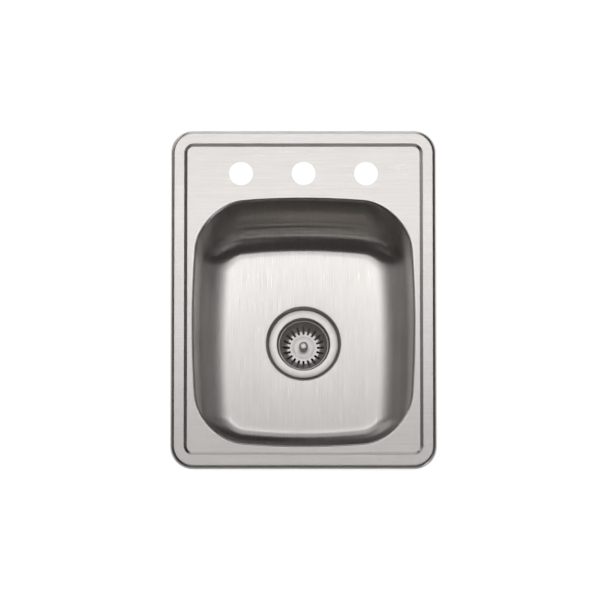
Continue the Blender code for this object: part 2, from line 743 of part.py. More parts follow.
def main():
    clear_scene()
    stainless = material("brushed_stainless", (0.62, 0.60, 0.57), 0.32, 1.0)
    polished = material("polished_stainless", (0.70, 0.68, 0.65), 0.18, 1.0)
    zinc = material("zinc_plated_steel", (0.55, 0.56, 0.58), 0.40, 1.0)
    chrome = material("chromed_metal", (0.72, 0.72, 0.73), 0.12, 1.0)
    rubber = material("black_rubber", (0.03, 0.03, 0.03), 0.80, 0.0)
    fibre = material("grey_fibre", (0.45, 0.42, 0.38), 0.90, 0.0)
    nylon = material("white_nylon", (0.85, 0.85, 0.82), 0.50, 0.0)
    pad = material("grey_sound_pad", (0.16, 0.16, 0.17), 0.90, 0.0)
    add_sink_shell(stainless)
    add_sound_pads(pad)
    add_clips(add_rails(zinc), zinc)
    drain = add_strainer(chrome, polished, rubber, fibre, nylon)
    add_basket(drain, polished, polished, rubber)


main()
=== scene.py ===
"""The looks of the drop-in bar sink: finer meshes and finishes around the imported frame.

Metres, +Z up, in the frame of the CAD model: the origin is the centre of the rim's outline on
the countertop plane, and +Y points to the faucet side.
"""

from math import atan2, cos, hypot, pi, radians, sin, tan, tau

import bmesh
import bpy
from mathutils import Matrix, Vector


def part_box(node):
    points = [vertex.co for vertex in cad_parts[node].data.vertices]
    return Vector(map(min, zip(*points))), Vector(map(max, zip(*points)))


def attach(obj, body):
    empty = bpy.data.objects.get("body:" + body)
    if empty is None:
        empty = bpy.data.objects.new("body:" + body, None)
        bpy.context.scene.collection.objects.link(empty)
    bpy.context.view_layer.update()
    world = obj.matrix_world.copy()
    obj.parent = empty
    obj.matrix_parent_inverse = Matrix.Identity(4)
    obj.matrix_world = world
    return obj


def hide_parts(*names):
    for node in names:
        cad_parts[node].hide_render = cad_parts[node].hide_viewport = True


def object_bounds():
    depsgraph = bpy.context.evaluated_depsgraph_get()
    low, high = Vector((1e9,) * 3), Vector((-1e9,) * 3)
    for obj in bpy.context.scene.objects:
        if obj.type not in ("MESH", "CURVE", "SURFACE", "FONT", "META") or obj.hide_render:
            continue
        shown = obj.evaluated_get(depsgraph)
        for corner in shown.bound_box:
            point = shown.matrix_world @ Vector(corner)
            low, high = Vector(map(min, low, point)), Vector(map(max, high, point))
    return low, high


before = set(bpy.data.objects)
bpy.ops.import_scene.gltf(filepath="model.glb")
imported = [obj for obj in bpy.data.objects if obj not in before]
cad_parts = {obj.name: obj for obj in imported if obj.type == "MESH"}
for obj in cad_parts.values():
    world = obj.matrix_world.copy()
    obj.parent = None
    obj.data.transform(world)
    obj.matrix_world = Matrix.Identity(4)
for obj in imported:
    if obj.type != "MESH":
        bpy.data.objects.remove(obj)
CAD_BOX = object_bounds()
SHELL_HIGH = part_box("sink_shell")[1]
FLANGE_LOW, FLANGE_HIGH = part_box("strainer_body")

GAP = 0.0003  # between two pieces that touch

# Rim and deck, by distance in from the outer edge
HALF_WIDTH = SHELL_HIGH.x
HALF_LENGTH = SHELL_HIGH.y
RIM_HEIGHT = SHELL_HIGH.z
SHEET = 0.0009
CORNER_RADIUS = 0.038
EDGE_ROLL = 0.0068
LEDGE_END = 0.0221
STEP_END = 0.0272
STEP_ROUND = 0.0012
DECK_HEIGHT = 0.0040

# Faucet holes
HOLE_RADIUS = 0.01905
HOLE_SPACING = 0.1016
HOLE_Y = 0.2078

# Bowl
BOWL_Y = (FLANGE_LOW.y + FLANGE_HIGH.y) / 2
MOUTH_HALF_WIDTH = 0.1802
MOUTH_HALF_LENGTH = 0.2040
MOUTH_CORNER = 0.0770
SIDE_BOW = 0.057  # share of the half width lost towards the corners
END_BOW = 0.059
LIP_RADIUS = 0.0055
LIP_START = -0.0030
WALL_DRAFT = radians(3.0)
FLOOR_FILLET = 0.048
FLOOR_PITCH = 0.020
RECESS_RADIUS = 0.0620
RECESS_FLOOR_RADIUS = 0.0570
RECESS_DEPTH = 0.0095
DRAIN_HOLE_RADIUS = 0.0450
FLANGE_TOP = FLANGE_HIGH.z
DRAIN_EDGE_Z = FLANGE_TOP + 0.0060
DRAIN = Vector((0, BOWL_Y, FLANGE_TOP))

# Basket, with heights from the flange's top
BASKET_FLOOR = -0.0330
BASKET_RIM = -0.0087
BASKET_SHEET = 0.0008
BASKET_BORE = 0.0032
GROOVE_RADIUS = 0.0170
GROOVE_HALF_WIDTH = 0.0014
GROOVE_DEPTH = 0.0002
BASKET_WALL_START = 0.0250
BASKET_WALL_SPREAD = 0.0141
BASKET_WALL_RISE = 0.0230

# Steps of the meshes: round a corner, along a straight side, round a bend and round a turned
# piece
CORNER_STEPS = 20
MOUTH_CORNER_STEPS = 26
LONG_STEPS = 56
SHORT_STEPS = 40
ROLL_STEPS = 10
STEP_STEPS = 5
SOFT_STEPS = 4
HOLE_STEPS = 96
ROUND_STEPS = 160

# Rings of the bowl's mesh
LIP_ROWS = 11
WALL_ROWS = 11
FILLET_ROWS = 19
FLOOR_ROWS = 12
FLOOR_ROW = LIP_ROWS + WALL_ROWS + FILLET_ROWS  # the ring where the fillet meets the floor

# Each side's turn about Z, and the axis its rail runs along
SIDES = {"right": (0.0, 1), "back": (pi / 2, 0), "left": (pi, 1), "front": (-pi / 2, 0)}
CLIPS = ("left_1", "left_2", "right_1", "right_2", "back", "front")


# ---------------------------------------------------------------- node materials


class Nodes:
    """A short way to build one material's node tree."""

    def __init__(self, name):
        self.material = bpy.data.materials.new(name)
        self.material.use_nodes = True
        self.tree = self.material.node_tree
        self.shader = self.tree.nodes["Principled BSDF"]

    def add(self, kind, **settings):
        node = self.tree.nodes.new(kind)
        for key, value in settings.items():
            setattr(node, key, value)
        return node

    def link(self, source, target):
        self.tree.links.new(source, target)

    def set(self, **values):
        for key, value in values.items():
            self.shader.inputs[key.replace("_", " ")].default_value = value

    def grain(self):
        """The UV map whose U runs across the grain and V along it, in metres."""
        return self.add("ShaderNodeUVMap", uv_map="grain").outputs["UV"]

    def place(self):
        """Position in the model, in metres."""
        return self.add("ShaderNodeTexCoord").outputs["Object"]

    def streaks(self, coordinates, scale, detail=4.0):
        """Noise stretched along the axes where scale is small."""
        mapping = self.add("ShaderNodeMapping")
        mapping.inputs["Scale"].default_value = scale
        self.link(coordinates, mapping.inputs["Vector"])
        noise = self.add("ShaderNodeTexNoise")
        noise.inputs["Scale"].default_value = 1.0
        noise.inputs["Detail"].default_value = detail
        noise.inputs["Roughness"].default_value = 0.6
        self.link(mapping.outputs["Vector"], noise.inputs["Vector"])
        return noise.outputs["Fac"]

    def spread(self, value, low, high):
        """Maps the middle of a noise's range to low..high."""
        node = self.add("ShaderNodeMapRange")
        node.inputs["From Min"].default_value = 0.3
        node.inputs["From Max"].default_value = 0.7
        node.inputs["To Min"].default_value = low
        node.inputs["To Max"].default_value = high
        self.link(value, node.inputs["Value"])
        return node.outputs["Result"]

    def rough(self, value, low, high):
        self.link(self.spread(value, low, high), self.shader.inputs["Roughness"])

    def bump(self, height, distance):
        node = self.add("ShaderNodeBump")
        node.inputs["Distance"].default_value = distance
        self.link(height, node.inputs["Height"])
        self.link(node.outputs["Normal"], self.shader.inputs["Normal"])

    def tone(self, value, dark, light):
        """The base colour, mixed between two by a value."""
        mix = self.add("ShaderNodeMix", data_type="RGBA")
        mix.inputs[6].default_value = (*dark, 1)
        mix.inputs[7].default_value = (*light, 1)
        self.link(self.spread(value, 0.0, 1.0), mix.inputs[0])
        self.link(mix.outputs[2], self.shader.inputs["Base Color"])

    def fade(self, front, back, share):
        """Painted shade: scales the base colour along Y, by share up to front, rising to all of it at
        back, as light that falls off towards the front would.
        """
        position = self.add("ShaderNodeSeparateXYZ")
        self.link(self.place(), position.inputs["Vector"])
        ramp = self.add("ShaderNodeMapRange")
        ramp.inputs["From Min"].default_value = front
        ramp.inputs["From Max"].default_value = back
        ramp.inputs["To Min"].default_value = share
        self.link(position.outputs["Y"], ramp.inputs["Value"])
        colour = self.shader.inputs["Base Color"].links[0].from_socket
        product = self.add("ShaderNodeVectorMath", operation="SCALE")
        self.link(colour, product.inputs["Vector"])
        self.link(ramp.outputs["Result"], product.inputs["Scale"])
        self.link(product.outputs["Vector"], self.shader.inputs["Base Color"])

    def along_grain(self, anisotropy):
        tangent = self.add("ShaderNodeTangent", direction_type="UV_MAP", uv_map="grain")
        self.link(tangent.outputs["Tangent"], self.shader.inputs["Tangent"])
        self.set(Anisotropic=anisotropy)


def shaded(colour, share):
    return [c * share for c in colour]


def brushed_metal(name, light, roughness, anisotropy):
    """Metal with straight grain, with painted shade that darkens it towards the sink's front."""
    m = Nodes(name)
    fine = m.streaks(m.grain(), (2600, 22, 1))
    broad = m.streaks(m.grain(), (300, 5, 1), 2.0)
    m.rough(fine, roughness - 0.05, roughness + 0.05)
    m.tone(broad, shaded(light, 0.94), light)
    # painted shade: the base colour drops to three quarters towards the front, where the light falls
    # off
    m.fade(front=-0.20, back=0.14, share=0.75)
    m.bump(fine, 0.000007)
    m.set(Metallic=1.0)
    m.along_grain(anisotropy)
    return m.material


def turned_metal(name, light, roughness, anisotropy=0.6):
    """Metal with the fine rings that turning or spinning leaves."""
    m = Nodes(name)
    rings = m.streaks(m.grain(), (3200, 0, 0), 3.0)
    patches = m.streaks(m.place(), (60, 60, 60), 2.0)
    m.rough(rings, roughness - 0.05, roughness + 0.06)
    m.tone(patches, shaded(light, 0.92), light)
    m.bump(rings, 0.000012)
    m.set(Metallic=1.0)
    m.along_grain(anisotropy)
    return m.material


def plated_metal(name, light, dark, roughness):
    """Dull plating with faint cloudy patches and fine pits."""
    m = Nodes(name)
    clouds = m.streaks(m.place(), (90, 90, 90), 5.0)
    pits = m.streaks(m.place(), (1500, 1500, 1500), 2.0)
    m.rough(clouds, roughness - 0.08, roughness + 0.10)
    m.tone(clouds, dark, light)
    m.bump(pits, 0.00002)
    m.set(Metallic=1.0)
    return m.material


def chromed_metal(name, light):
    """Bright plating over faint turning rings, dulled a little in patches."""
    m = Nodes(name)
    rings = m.streaks(m.grain(), (900, 0, 0), 2.0)
    film = m.streaks(m.place(), (35, 35, 60), 5.0)
    m.rough(film, 0.07, 0.19)
    m.tone(film, shaded(light, 0.90), light)
    m.bump(rings, 0.000008)
    m.set(Metallic=1.0)
    return m.material


def moulded(name, light, dark, roughness, texture, depth):
    """Rubber, nylon or fibre: a matte colour, mottled, over a fine skin texture."""
    m = Nodes(name)
    mottle = m.streaks(m.place(), (140, 140, 140), 4.0)
    skin = m.streaks(m.place(), (texture, texture, texture), 3.0)
    m.rough(skin, roughness - 0.08, roughness + 0.08)
    m.tone(mottle, dark, light)
    m.bump(skin, depth)
    return m.material


# ---------------------------------------------------------------- outlines and profiles


def rounded_corners(half_x, half_y, radius, steps):
    """Quarter circles at a rectangle's corners, counter-clockwise."""
    points = []
    for corner, (sx, sy) in enumerate(((1, 1), (-1, 1), (-1, -1), (1, -1))):
        cx, cy = sx * (half_x - radius), sy * (half_y - radius)
        for k in range(steps + 1):
            angle = pi / 2 * (corner + k / steps)
            points.append((cx + radius * cos(angle), cy + radius * sin(angle)))
    return points


def rim_outline(inset):
    """The rim's outline moved inwards, counter-clockwise."""
    return rounded_corners(HALF_WIDTH - inset, HALF_LENGTH - inset, CORNER_RADIUS - inset, CORNER_STEPS)


def mouth_outline(inset):
    """The bowl's outline moved inwards, counter-clockwise."""
    half_x, half_y = MOUTH_HALF_WIDTH - inset, MOUTH_HALF_LENGTH - inset
    corners = rounded_corners(half_x, half_y, MOUTH_CORNER - inset, MOUTH_CORNER_STEPS)
    square = []
    for k, (x, y) in enumerate(corners):
        square.append((x, y))
        if k % (MOUTH_CORNER_STEPS + 1) == MOUTH_CORNER_STEPS:
            u, v = corners[(k + 1) % len(corners)]
            steps = LONG_STEPS if abs(v - y) > abs(u - x) else SHORT_STEPS
            for step in range(1, steps):
                square.append((x + (u - x) * step / steps, y + (v - y) * step / steps))
    bowed = []
    for x, y in square:
        narrowed = x * (1 - SIDE_BOW * (y / half_y) ** 2)
        shortened = y * (1 - END_BOW * (x / half_x) ** 2)
        bowed.append((narrowed, BOWL_Y + shortened))
    return bowed


MOUTH_POINTS = len(mouth_outline(0.0))


def drain_circle(radius):
    """A circle round the drain with a point towards each point of the bowl's outline."""
    ways = [atan2(y - BOWL_Y, x) for x, y in mouth_outline(FLOOR_FILLET + 0.0100)]
    return [(radius * cos(way), BOWL_Y + radius * sin(way)) for way in ways]


def circle(radius, count, x, y):
    return [
        (x + radius * cos(tau * k / count), y + radius * sin(tau * k / count)) for k in range(count)
    ]


def floor_height(x, y):
    return DRAIN_EDGE_Z + FLOOR_PITCH * (hypot(x, y - BOWL_Y) - RECESS_RADIUS)


def rim_profile():
    """(inset, height) from the rim's edge on the countertop to the deck. A narrow flat strip
    beside each bend keeps the bend's shading off the wide flats."""
    roll_strip, strip = 0.0006, 0.0004
    points = [(0.0, 0.0), (0.0, (RIM_HEIGHT - EDGE_ROLL) / 2)]
    for k in range(ROLL_STEPS + 1):
        angle = pi / 2 * k / ROLL_STEPS
        points.append((EDGE_ROLL * (1 - cos(angle)), RIM_HEIGHT - EDGE_ROLL * (1 - sin(angle))))
    points.append((EDGE_ROLL + roll_strip, RIM_HEIGHT))
    slope = atan2(RIM_HEIGHT - DECK_HEIGHT, STEP_END - LEDGE_END)
    reach = STEP_ROUND * tan(slope / 2)
    start, end = LEDGE_END - reach, STEP_END + reach
    points.append((start - strip, RIM_HEIGHT))
    for k in range(STEP_STEPS + 1):
        angle = slope * k / STEP_STEPS
        points.append((start + STEP_ROUND * sin(angle), RIM_HEIGHT - STEP_ROUND * (1 - cos(angle))))
    for k in range(STEP_STEPS + 1):
        angle = slope * (1 - k / STEP_STEPS)
        points.append((end - STEP_ROUND * sin(angle), DECK_HEIGHT + STEP_ROUND * (1 - cos(angle))))
    points.append((end + strip, DECK_HEIGHT))
    return points


def bowl_rings():
    """Rings from the deck over the lip, down the wall and across the floor to the drain."""
    deck_strip, recess_strip = 0.0008, 0.0010
    lean = pi / 2 - WALL_DRAFT
    rings = [[(x, y, DECK_HEIGHT) for x, y in mouth_outline(LIP_START - deck_strip)]]
    for step in range(LIP_ROWS):
        angle = lean * step / (LIP_ROWS - 1)
        inset = LIP_START + LIP_RADIUS * sin(angle)
        height = DECK_HEIGHT - LIP_RADIUS * (1 - cos(angle))
        rings.append([(x, y, height) for x, y in mouth_outline(inset)])
    wall_top = DECK_HEIGHT - LIP_RADIUS * (1 - cos(lean))
    wall_bottom = DRAIN_EDGE_Z + FLOOR_FILLET * (1 - cos(lean))
    wall_start = LIP_START + LIP_RADIUS * sin(lean)
    wall_end = wall_start + (wall_top - wall_bottom) * sin(WALL_DRAFT)
    floor_start = wall_end + FLOOR_FILLET * sin(lean)
    for step in range(1, WALL_ROWS + 1):
        share = step / (WALL_ROWS + 1)
        ring = []
        for (x, y, z), (u, v) in zip(rings[LIP_ROWS], mouth_outline(wall_end)):
            low = floor_height(u, v) + FLOOR_FILLET * (1 - cos(lean))
            ring.append((x + (u - x) * share, y + (v - y) * share, z + (low - z) * share))
        rings.append(ring)
    for step in range(FILLET_ROWS):
        angle = lean * (1 - step / (FILLET_ROWS - 1))
        inset = floor_start - FLOOR_FILLET * sin(angle)
        rise = FLOOR_FILLET * (1 - cos(angle))
        rings.append([(x, y, floor_height(x, y) + rise) for x, y in mouth_outline(inset)])
    recess = drain_circle(RECESS_RADIUS + recess_strip)
    floor = rings[-1]
    for step in range(1, FLOOR_ROWS + 1):
        share = step / FLOOR_ROWS
        ring = [(x + (u - x) * share, y + (v - y) * share) for (x, y, _), (u, v) in zip(floor, recess)]
        rings.append([(x, y, floor_height(x, y)) for x, y in ring])
    return rings


def recess_profile():
    """(radius, height) from the floor's edge round the drain to the hole."""
    bottom = DRAIN_EDGE_Z - RECESS_DEPTH
    return [
        (RECESS_RADIUS + 0.0002, DRAIN_EDGE_Z),
        (RECESS_RADIUS - 0.0005, DRAIN_EDGE_Z - 0.0002),
        (RECESS_RADIUS - 0.0011, DRAIN_EDGE_Z - 0.0009),
        (RECESS_FLOOR_RADIUS + 0.0012, bottom + 0.0014),
        (RECESS_FLOOR_RADIUS + 0.0005, bottom + 0.0004),
        (RECESS_FLOOR_RADIUS - 0.0004, bottom),
        (DRAIN_HOLE_RADIUS, bottom),
    ]


def edges_at(outline, k):
    """A closed outline's point k, with the ways from there to the points before and after it."""
    here = Vector(outline[k])
    return here, Vector(outline[k - 1]) - here, Vector(outline[(k + 1) % len(outline)]) - here


def rounded_corner(outline, k, radius):
    """The points that round the corner k of a closed outline."""
    here, back, ahead = edges_at(outline, k)
    cut = min(radius / tan(back.angle(ahead) / 2), 0.45 * back.length, 0.45 * ahead.length)
    start, end = here + back.normalized() * cut, here + ahead.normalized() * cut
    shares = [step / SOFT_STEPS for step in range(SOFT_STEPS + 1)]
    return [tuple((1 - t) ** 2 * start + 2 * t * (1 - t) * here + t * t * end) for t in shares]


def softened(outline, radius):
    """A closed outline with its corners rounded, apart from those that hardly bend. Points on
    or below zero across stay, as on the axis of a turned outline."""
    made = []
    for k, point in enumerate(outline):
        here, back, ahead = edges_at(outline, k)
        if here.x < 1e-6 or pi - back.angle(ahead) < radians(20):
            made.append(point)
        else:
            made += rounded_corner(outline, k, radius)
    return made


# ---------------------------------------------------------------- mesh helpers


def grain_of(bm):
    """The UV map named grain, made where it doesn't exist yet."""
    return bm.loops.layers.uv.get("grain") or bm.loops.layers.uv.new("grain")


def loft(bm, rings):
    """Joins closed rings of equal count with quads, and returns the rows of vertices."""
    rows = [[bm.verts.new(point) for point in ring] for ring in rings]
    for above, below in zip(rows, rows[1:]):
        for k in range(len(above)):
            following = (k + 1) % len(above)
            bm.faces.new((above[k], above[following], below[following], below[k]))
    return rows


def loop_edges(bm, verts):
    """The edges round a closed row of vertices."""
    pairs = zip(verts, verts[1:] + verts[:1])
    return [bm.edges.get(pair) or bm.edges.new(pair) for pair in pairs]


def face_up(bm):
    """Turns an open sheet's faces to its upper side."""
    bmesh.ops.recalc_face_normals(bm, faces=bm.faces)
    if sum(f.normal.z * f.calc_area() for f in bm.faces) < 0:
        bmesh.ops.reverse_faces(bm, faces=bm.faces)


def lathe(bm, profile, steps, shape=None):
    """Turns a closed (radius, height) profile about Z, with the grain running round the axis.
    shape gives the radius at a height and an angle, for threads, flats and lugs."""
    grain = grain_of(bm)
    reference = max(r for r, _ in profile)
    rows, along = [], [0.0]
    for r, z in profile:
        if r < 1e-6:
            rows.append([bm.verts.new((0, 0, z))] * steps)
            continue
        row = []
        for k in range(steps):
            angle = tau * k / steps
            radius = shape(r, z, angle) if shape else r
            row.append(bm.verts.new((radius * cos(angle), radius * sin(angle), z)))
        rows.append(row)
    for (a, b), (c, d) in zip(profile, profile[1:] + profile[:1]):
        along.append(along[-1] + hypot(c - a, d - b))
    for n in range(len(rows)):
        above, below = rows[n], rows[(n + 1) % len(rows)]
        if above[0] is above[1] and below[0] is below[1]:
            continue
        for k in range(steps):
            following = (k + 1) % steps
            spots = [(above[k], n, k), (above[following], n, k + 1)]
            spots += [(below[following], n + 1, k + 1), (below[k], n + 1, k)]
            kept = []
            for spot in spots:
                if spot[0] not in [other[0] for other in kept]:
                    kept.append(spot)
            face = bm.faces.new([spot[0] for spot in kept])
            for loop, (_, row, column) in zip(face.loops, kept):
                loop[grain].uv = (along[row], tau * column / steps * reference)
    bmesh.ops.recalc_face_normals(bm, faces=bm.faces)


def thread_rows(radius, top, bottom, pitch):
    """Profile points down a threaded wall, six to each turn."""
    count = round((top - bottom) / pitch * 6)
    return [(radius, top + (bottom - top) * k / count) for k in range(count + 1)]


def thread_shape(zones):
    """Radius of a helical thread where a point lies on one of the (radius, low, high, pitch,
    depth) zones."""

    def shape(r, z, angle):
        for radius, low, high, pitch, depth in zones:
            if abs(r - radius) < 1e-5 and low <= z <= high:
                turn = (z / pitch + angle / tau) % 1.0
                fade = min(1.0, (z - low) / pitch, (high - z) / pitch)
                return r - depth * fade * (0.5 + 0.5 * cos(tau * turn))
        return r

    return shape


def polygon_shape(apothem, sides):
    """Radius cut to a regular polygon with a corner on +X."""
    half = pi / sides

    def shape(r, z, angle):
        return min(r, apothem / cos(angle % (2 * half) - half))

    return shape


def extruded(bm, outline, way):
    """A closed outline of 3-D points carried along a vector, with its ends closed."""
    grain = grain_of(bm)
    near = [bm.verts.new(point) for point in outline]
    far = [bm.verts.new(Vector(point) + way) for point in outline]
    bm.faces.new(near[::-1])
    bm.faces.new(far)
    along = 0.0
    for k in range(len(near)):
        following = (k + 1) % len(near)
        face = bm.faces.new((near[k], near[following], far[following], far[k]))
        step = (near[following].co - near[k].co).length
        spots = ((along, 0), (along + step, 0), (along + step, way.length), (along, way.length))
        for loop, uv in zip(face.loops, spots):
            loop[grain].uv = uv
        along += step
    bmesh.ops.recalc_face_normals(bm, faces=bm.faces)


def block(bm, low, high):
    """A box between two corners."""
    corners = [(low[0], low[1]), (high[0], low[1]), (high[0], high[1]), (low[0], high[1])]
    extruded(bm, [(x, y, low[2]) for x, y in corners], Vector((0, 0, high[2] - low[2])))


def mesh_of(bm, name, sharp=35):
    mesh = bpy.data.meshes.new(name)
    bm.to_mesh(mesh)
    bm.free()
    mesh.shade_smooth()
    mesh.set_sharp_from_angle(angle=radians(sharp))
    return mesh


def piece(name, mesh, body, finish, node, at=(0, 0, 0), turn=0.0):
    """One visible piece, in place of the CAD node that it refines."""
    obj = bpy.data.objects.new(name, mesh)
    bpy.context.scene.collection.objects.link(obj)
    obj.location = at
    obj.rotation_euler = (0, 0, turn)
    if not mesh.materials:
        mesh.materials.append(finish)
    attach(obj, body)
    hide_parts(node)
    return obj


def bevelled(obj, width):
    bevel = obj.modifiers.new("edges", "BEVEL")
    bevel.width = width
    bevel.segments = 2
    bevel.limit_method = "ANGLE"
    bevel.angle_limit = radians(40)
    bevel.harden_normals = True


def thickened(obj, thickness):
    """Gives an open sheet its thickness, below the side it faces."""
    solidify = obj.modifiers.new("sheet", "SOLIDIFY")
    solidify.thickness = thickness
    solidify.offset = -1
    return solidify


def split_edges(obj, degrees):
    edges = obj.modifiers.new("edges", "EDGE_SPLIT")
    edges.split_angle = radians(degrees)


def carved(mesh, cutters):
    """The mesh with the cutters' shapes taken out of it."""
    helpers = []
    for part in (mesh, *cutters):
        helper = bpy.data.objects.new("helper", part)
        bpy.context.scene.collection.objects.link(helper)
        helpers.append(helper)
    for cutter in helpers[1:]:
        boolean = helpers[0].modifiers.new("cut", "BOOLEAN")
        boolean.operation = "DIFFERENCE"
        boolean.object = cutter
    graph = bpy.context.evaluated_depsgraph_get()
    made = bpy.data.meshes.new_from_object(helpers[0].evaluated_get(graph))
    made.name = mesh.name + "_cut"
    for helper in helpers:
        bpy.data.objects.remove(helper, do_unlink=True)
    return made


# ---------------------------------------------------------------- the sink's sheet


def add_shell(steel):
    """Rim, deck and bowl as one surface, thickened into a sheet."""
    bm = bmesh.new()
    grain = grain_of(bm)

    rim = [[(x, y, z) for x, y in rim_outline(inset)] for inset, z in rim_profile()]
    deck_edges = loop_edges(bm, loft(bm, rim)[-1])

    rings = bowl_rings()
    rows = loft(bm, rings)
    deck_edges += loop_edges(bm, rows[0])
    row_of = {v: n for n, row in enumerate(rows) for v in row}
    hole_strip = 0.0006
    for side in (-1, 0, 1):
        outlines = [
            circle(radius, HOLE_STEPS, side * HOLE_SPACING, HOLE_Y)
            for radius in (HOLE_RADIUS + hole_strip, HOLE_RADIUS)
        ]
        around = [[(x, y, DECK_HEIGHT) for x, y in outline] for outline in outlines]
        deck_edges += loop_edges(bm, loft(bm, around)[0])
    bmesh.ops.triangle_fill(bm, edges=deck_edges, use_beauty=True, normal=(0, 0, 1))

    profile = recess_profile()
    turned = [drain_circle(radius) for radius, _ in profile]
    recess = [[(x, y, z) for x, y in ring] for ring, (_, z) in zip(turned, profile)]
    inner = loft(bm, recess)
    for k in range(MOUTH_POINTS):
        following = (k + 1) % MOUTH_POINTS
        bm.faces.new((rows[-1][k], rows[-1][following], inner[0][following], inner[0][k]))
    face_up(bm)

    # The grain runs along X on the deck. In the bowl it runs along Y, as if the sheet were
    # still flat: each column of the wall is unrolled outwards from the floor's edge.
    blank = {}
    for k in range(MOUTH_POINTS):
        foot = Vector(rings[FLOOR_ROW][k][:2])
        way = (Vector(rings[0][k][:2]) - foot).normalized()
        climbed = 0.0
        blank[rows[FLOOR_ROW][k]] = foot
        for n in range(FLOOR_ROW - 1, -1, -1):
            climbed += (Vector(rings[n][k]) - Vector(rings[n + 1][k])).length
            blank[rows[n][k]] = foot + way * climbed
    floor_zone = -0.1  # only the bowl's floor and the recess lie lower, apart from the wall
    for face in bm.faces:
        members = [row_of.get(v) for v in face.verts]
        on_wall = None not in members and 1 <= min(members) and max(members) <= FLOOR_ROW
        for loop, row in zip(face.loops, members):
            x, y, z = loop.vert.co
            if on_wall:
                loop[grain].uv = blank[loop.vert]
            elif z < floor_zone and row is not None:
                loop[grain].uv = (x, y)
            elif z < floor_zone:
                angle = atan2(y - BOWL_Y, x)
                loop[grain].uv = (hypot(x, y - BOWL_Y), angle * RECESS_RADIUS)
            else:
                loop[grain].uv = (y, x)

    shell = piece("sink_sheet", mesh_of(bm, "sink_sheet", 60), "sink", steel, "sink_shell")
    thickened(shell, SHEET).use_even_offset = True
    split_edges(shell, 60)


def add_sound_pads(finish):
    """Pads stuck under the floor, with rounded corners."""
    corner, thickness, across, deep = 0.006, 0.0030, 40, 24
    for name in ("sound_pad_front", "sound_pad_back"):
        low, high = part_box(name)
        bm = bmesh.new()
        grid = []
        for row in range(deep + 1):
            y = low.y + (high.y - low.y) * row / deep
            near = min(y - low.y, high.y - y)
            pull = corner - (corner**2 - (corner - near) ** 2) ** 0.5 if near < corner else 0.0
            line = []
            for column in range(across + 1):
                x = (low.x + pull) + (high.x - low.x - 2 * pull) * column / across
                line.append(bm.verts.new((x, y, floor_height(x, y) - SHEET - 2 * GAP)))
            grid.append(line)
        for a, b in zip(grid, grid[1:]):
            for k in range(across):
                bm.faces.new((a[k], a[k + 1], b[k + 1], b[k]))
        face_up(bm)
        pad = piece(f"{name}_sheet", mesh_of(bm, name + "_mesh"), "sink", finish, name)
        thickened(pad, thickness)
        bevelled(pad, 0.0006)


# ---------------------------------------------------------------- rails and clips


def add_rails(finish):
    """C-channels, with the corners of their outer half rounded."""
    half, sheet, lip = 0.0090, 0.0012, 0.0045
    for side, (ways, along) in SIDES.items():
        low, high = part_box(f"mounting_rail_{side}")
        top, bottom = high.z, low.z
        outline = [(-half, top), (half, top), (half, bottom), (half - lip, bottom)]
        outline += [(half - lip, bottom + sheet), (half - sheet, bottom + sheet)]
        outline += [(half - sheet, top - sheet), (-half + sheet, top - sheet)]
        outline += [(-half + sheet, bottom + sheet), (-half + lip, bottom + sheet)]
        outline += [(-half + lip, bottom), (-half, bottom)]
        length = high[along] - low[along]
        bm = bmesh.new()
        bent = softened(outline, 0.0009)
        extruded(bm, [(x, -length / 2, z) for x, z in bent], Vector((0, length, 0)))
        centre = (low + high) / 2
        at = (centre.x, centre.y, 0)
        mesh = mesh_of(bm, f"rail_{side}")
        piece(f"rail_{side}", mesh, "sink", finish, f"mounting_rail_{side}", at, ways)


def bolt_mesh(low, high):
    """A T-bolt about its own axis: head, square neck and threaded shank."""
    radius, pitch, thread_depth, steps = 0.0030, 0.00127, 0.0005, 28
    head, neck, thickness = 0.0071, 0.0039, 0.0030
    head_low = high - thickness
    top = head_low - 0.0028  # the thread starts just inside the neck
    hidden = top + 0.0010  # the plain shank ends further in
    bm = bmesh.new()
    block(bm, (-head, -head, head_low), (head, head, high))
    block(bm, (-neck, -neck, head_low - thickness), (neck, neck, head_low + 0.0005))
    wall = thread_rows(radius, top, low + 0.0012, pitch)
    ends = [(radius - 0.0006, low + 0.0002), (radius - 0.0010, low), (0.0, low), (0.0, hidden)]
    zones = [(radius, low + 0.0010, top, pitch, thread_depth)]
    lathe(bm, [(radius, hidden), *wall, *ends], steps, thread_shape(zones))
    return mesh_of(bm, "t_bolt", 50)


def claw_mesh():
    """A stamped claw about its bolt's axis: bent sheet with three teeth on its outer leg."""
    sheet, width, bore = 0.0020, 0.0160, 0.0036
    tail, leg, tail_top, leg_top = -0.0100, 0.0185, 0.0050, 0.0090
    outline = [(tail, 0), (leg, 0), (leg, leg_top), (leg - sheet, leg_top), (leg - sheet, sheet)]
    outline += [(tail + sheet, sheet), (tail + sheet, tail_top), (tail, tail_top)]
    bends = {0: 0.0022, 1: 0.0022, 4: 0.0008, 5: 0.0008}
    points = []
    for k in range(len(outline)):
        points += rounded_corner(outline, k, bends.get(k, 0.0002))
    bm = bmesh.new()
    extruded(bm, [(x, -width / 2, z) for x, z in points], Vector((0, width, 0)))
    plate = mesh_of(bm, "claw")

    bm = bmesh.new()
    lathe(bm, [(0.0, 0.02), (bore, 0.02), (bore, -0.02), (0.0, -0.02)], 48)
    cutters = [mesh_of(bm, "claw_hole")]
    half, deep, over = 0.0013, leg_top - 0.0025, leg_top + 0.0003
    for k in (-1, 0, 1):
        y = k * width / 4
        notch = [(y - half, leg_top), (y, deep), (y + half, leg_top)]
        notch += [(y + half, over), (y - half, over)]
        bm = bmesh.new()
        extruded(bm, [(0.0145, a, b) for a, b in notch], Vector((0.0060, 0, 0)))
        cutters.append(mesh_of(bm, "claw_notch"))
    return carved(plate, cutters)


